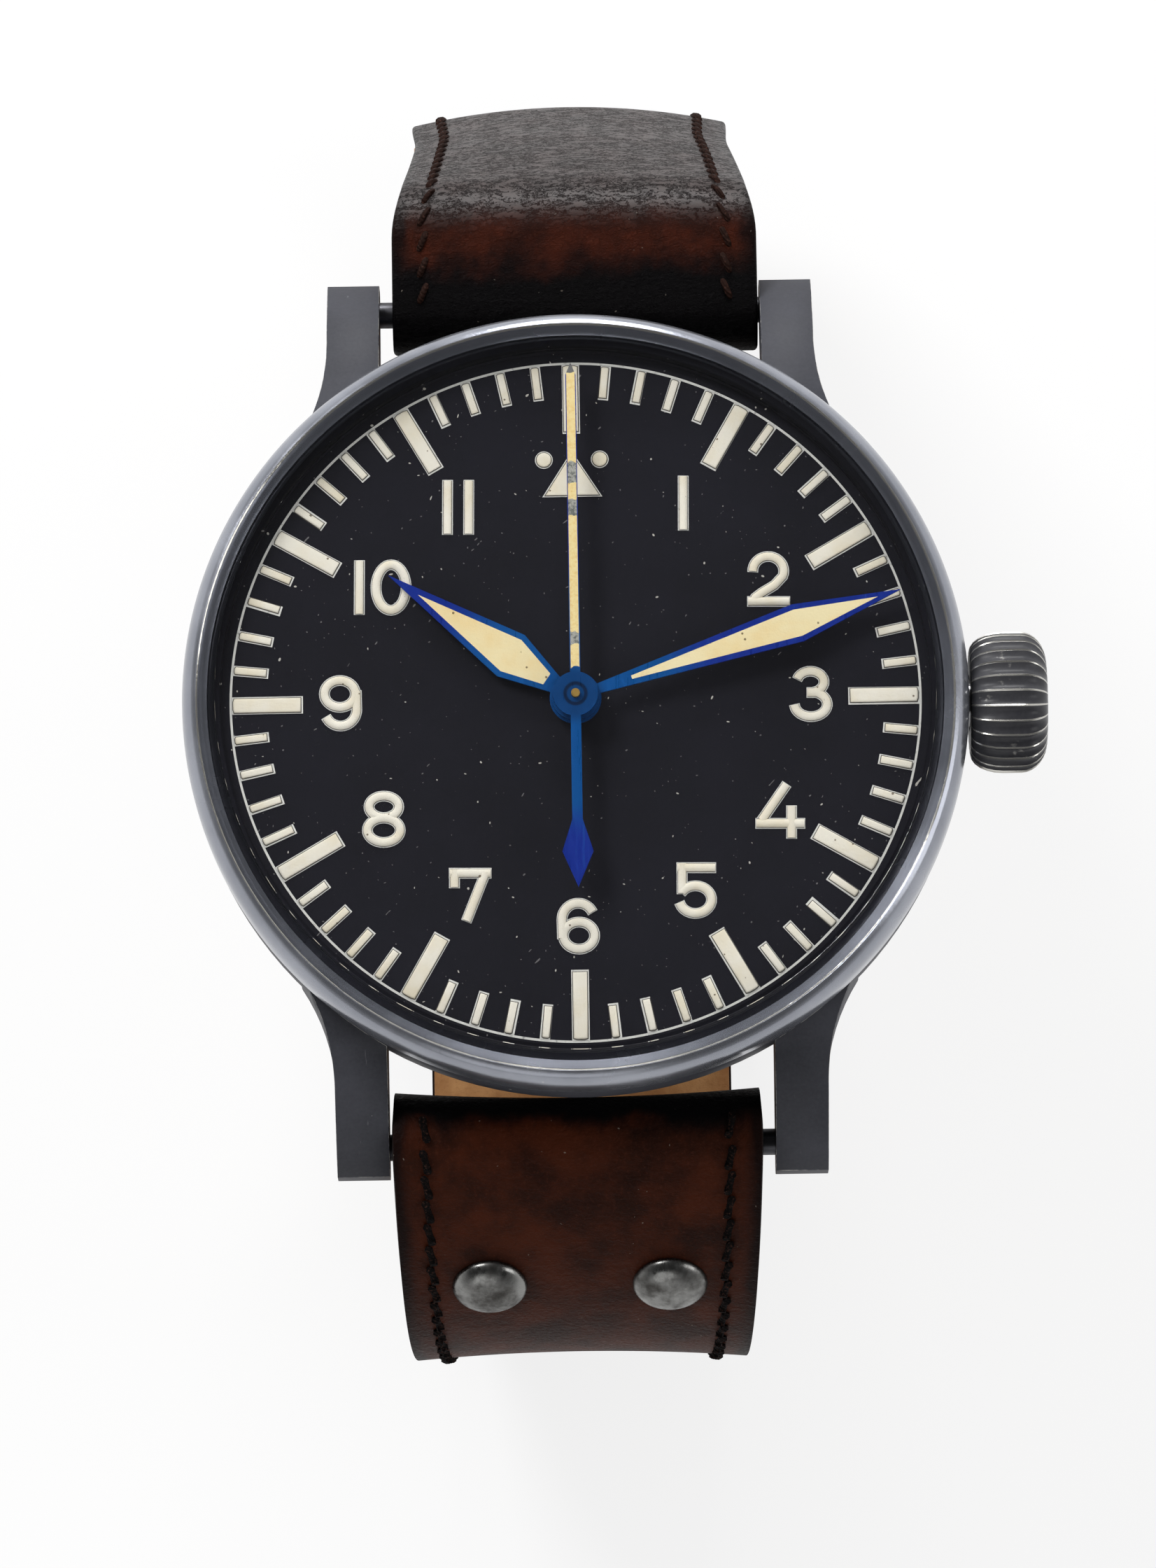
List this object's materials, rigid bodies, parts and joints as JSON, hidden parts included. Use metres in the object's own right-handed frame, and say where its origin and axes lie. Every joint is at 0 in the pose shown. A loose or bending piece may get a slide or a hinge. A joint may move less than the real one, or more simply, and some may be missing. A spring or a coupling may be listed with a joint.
{
  "type": "pilot watch",
  "caption": "Large pilot watch on a buckled leather strap, with domed crystal, luminous numerals and hands, fluted crown and a working hand-wound train.",
  "frame": {"origin": "centre of the case back's flat outer face, on the axis of the hands", "axes": "+Z out of the dial, +Y towards 12 o'clock, +X towards the crown at 3 o'clock"},
  "size_m": [0.0606, 0.0924, 0.0568],
  "materials": {
    "case_paint": "matt grey-blue, bright worn edges",
    "case_steel": "satin",
    "crown_steel": "dark satin",
    "soft_iron": "matt",
    "ring_metal": "nickel plated",
    "crystal_glass": "polished",
    "dial_paint": "matt",
    "blued_steel": "heat blued",
    "lume": "matt cream",
    "movement_plate": "nickel plated, grained",
    "gilt_brass": "circular grained",
    "movement_steel": "polished",
    "balance_brass": "polished",
    "spring_steel": "blued",
    "ruby": "polished",
    "strap_leather": "dark reddish brown, waxed",
    "lining_leather": "matt tan",
    "worn_steel": "dark, worn bright on the domes"
  },
  "bodies": {
    "watch": {"case_back": "case_steel", "dust_cover": "soft_iron", "movement_ring": "ring_metal", "case_band": "case_paint", "lug_bars": "case_steel", "bezel": "case_paint", "dial_flange": "dial_paint", "crystal": "crystal_glass", "crown_tube": "case_steel", "mainplate": "movement_plate", "barrel_bridge": "movement_plate", "train_bridge": "movement_plate", "balance_cock": "movement_plate", "pallet_cock": "movement_plate", "jewels": "ruby", "bridge_screws": "movement_steel", "hairspring": "spring_steel", "dial": "dial_paint", "lower_strap": "strap_leather", "lower_lining": "lining_leather", "upper_strap": "strap_leather", "upper_lining": "lining_leather", "strap_rivets": "worn_steel", "fixed_keeper": "strap_leather", "buckle_frame": "worn_steel", "buckle_bar": "worn_steel"},
    "winding_pinions": {"winding_pinion": "movement_steel", "sliding_pinion": "movement_steel"},
    "crown_and_stem": {"crown": "crown_steel", "stem": "movement_steel"},
    "crown_wheel": {"crown_wheel": "movement_steel"},
    "ratchet": {"ratchet_wheel": "movement_steel", "barrel_arbor": "movement_steel"},
    "click": {"click": "movement_steel"},
    "seconds": {"fourth_wheel": "gilt_brass", "seconds_hand": "blued_steel"},
    "third": {"third_wheel": "gilt_brass"},
    "minutes": {"centre_wheel": "gilt_brass", "cannon_pinion": "movement_steel", "minute_hand": "blued_steel", "minute_hand_lume": "lume"},
    "motion": {"minute_wheel": "gilt_brass"},
    "hours": {"hour_wheel": "gilt_brass", "hour_hand": "blued_steel", "hour_hand_lume": "lume"},
    "escape": {"escape_wheel": "movement_steel"},
    "barrel": {"barrel_drum": "gilt_brass", "barrel_lid": "gilt_brass", "mainspring": "spring_steel"},
    "pallets": {"pallet_fork": "movement_steel"},
    "balance": {"balance_wheel": "balance_brass", "balance_staff": "movement_steel"},
    "tongue": {"buckle_tongue": "worn_steel"},
    "keeper": {"sliding_keeper": "strap_leather"}
  },
  "joints": [
    {"name": "crown_turn", "type": "hinge", "parent": "watch", "child": "winding_pinions", "pos_m": [0.02, 0, 0.0072], "axis": [1, 0, 0], "continuous": true},
    {"name": "crown_pull", "type": "slide", "parent": "winding_pinions", "child": "crown_and_stem", "axis": [1, 0, 0], "range_m": [0, 0.0008]},
    {"name": "crown_wheel_turn", "type": "hinge", "parent": "watch", "child": "crown_wheel", "pos_m": [0.01251, 0, 0.0045], "axis": [0, 0, 1], "continuous": true},
    {"name": "ratchet_turn", "type": "hinge", "parent": "watch", "child": "ratchet", "pos_m": [0.00743, 0.00743, 0.0045], "axis": [0, 0, 1], "continuous": true},
    {"name": "click_swing", "type": "hinge", "parent": "watch", "child": "click", "pos_m": [0.00611, 0.01491, 0.0045], "axis": [0, 0, 1], "range_deg": [0, 6.8], "stiffness_Nm_per_rad": 0.00001},
    {"name": "seconds_turn", "type": "hinge", "parent": "watch", "child": "seconds", "pos_m": [0, 0, 0.0055], "axis": [0, 0, 1], "continuous": true},
    {"name": "third_turn", "type": "hinge", "parent": "watch", "child": "third", "pos_m": [-0.00717, 0.00063, 0.0062], "axis": [0, 0, 1], "continuous": true},
    {"name": "minutes_turn", "type": "hinge", "parent": "watch", "child": "minutes", "pos_m": [0, 0, 0.0075], "axis": [0, 0, 1], "continuous": true},
    {"name": "motion_turn", "type": "hinge", "parent": "watch", "child": "motion", "pos_m": [0.0025, -0.00433, 0.0092], "axis": [0, 0, 1], "continuous": true},
    {"name": "hours_turn", "type": "hinge", "parent": "watch", "child": "hours", "pos_m": [0, 0, 0.0096], "axis": [0, 0, 1], "continuous": true},
    {"name": "escape_turn", "type": "hinge", "parent": "watch", "child": "escape", "pos_m": [-0.00355, -0.00615, 0.0071], "axis": [0, 0, 1], "continuous": true},
    {"name": "barrel_turn", "type": "hinge", "parent": "watch", "child": "barrel", "pos_m": [0.00743, 0.00743, 0.0066], "axis": [0, 0, 1], "continuous": true},
    {"name": "pallet_swing", "type": "hinge", "parent": "watch", "child": "pallets", "pos_m": [-0.00511, -0.0095, 0.0071], "axis": [0, 0, 1], "range_deg": [-4, 4]},
    {"name": "balance_swing", "type": "hinge", "parent": "watch", "child": "balance", "pos_m": [-0.00731, -0.01421, 0.0061], "axis": [0, 0, 1], "range_deg": [-270, 270], "stiffness_Nm_per_rad": 0.0000013, "deforming": ["hairspring"]},
    {"name": "tongue_swing", "type": "hinge", "parent": "watch", "child": "tongue", "pos_m": [0, 0, -0.0356], "axis": [1, 0, 0], "range_deg": [0, 11]},
    {"name": "keeper_slide", "type": "slide", "parent": "watch", "child": "keeper", "axis": [0, 1, 0], "range_m": [-0.003, 0.005]}
  ],
  "couplings": [
    {"joint": "crown_wheel_turn", "follows": "crown_turn", "ratio": -0.71429},
    {"joint": "ratchet_turn", "follows": "crown_turn", "ratio": 0.45455},
    {"joint": "third_turn", "follows": "seconds_turn", "ratio": -0.13333},
    {"joint": "minutes_turn", "follows": "seconds_turn", "ratio": 0.016667},
    {"joint": "motion_turn", "follows": "seconds_turn", "ratio": -0.0055556},
    {"joint": "hours_turn", "follows": "seconds_turn", "ratio": 0.0013889},
    {"joint": "escape_turn", "follows": "seconds_turn", "ratio": -10},
    {"joint": "barrel_turn", "follows": "seconds_turn", "ratio": -0.0027778}
  ]
}
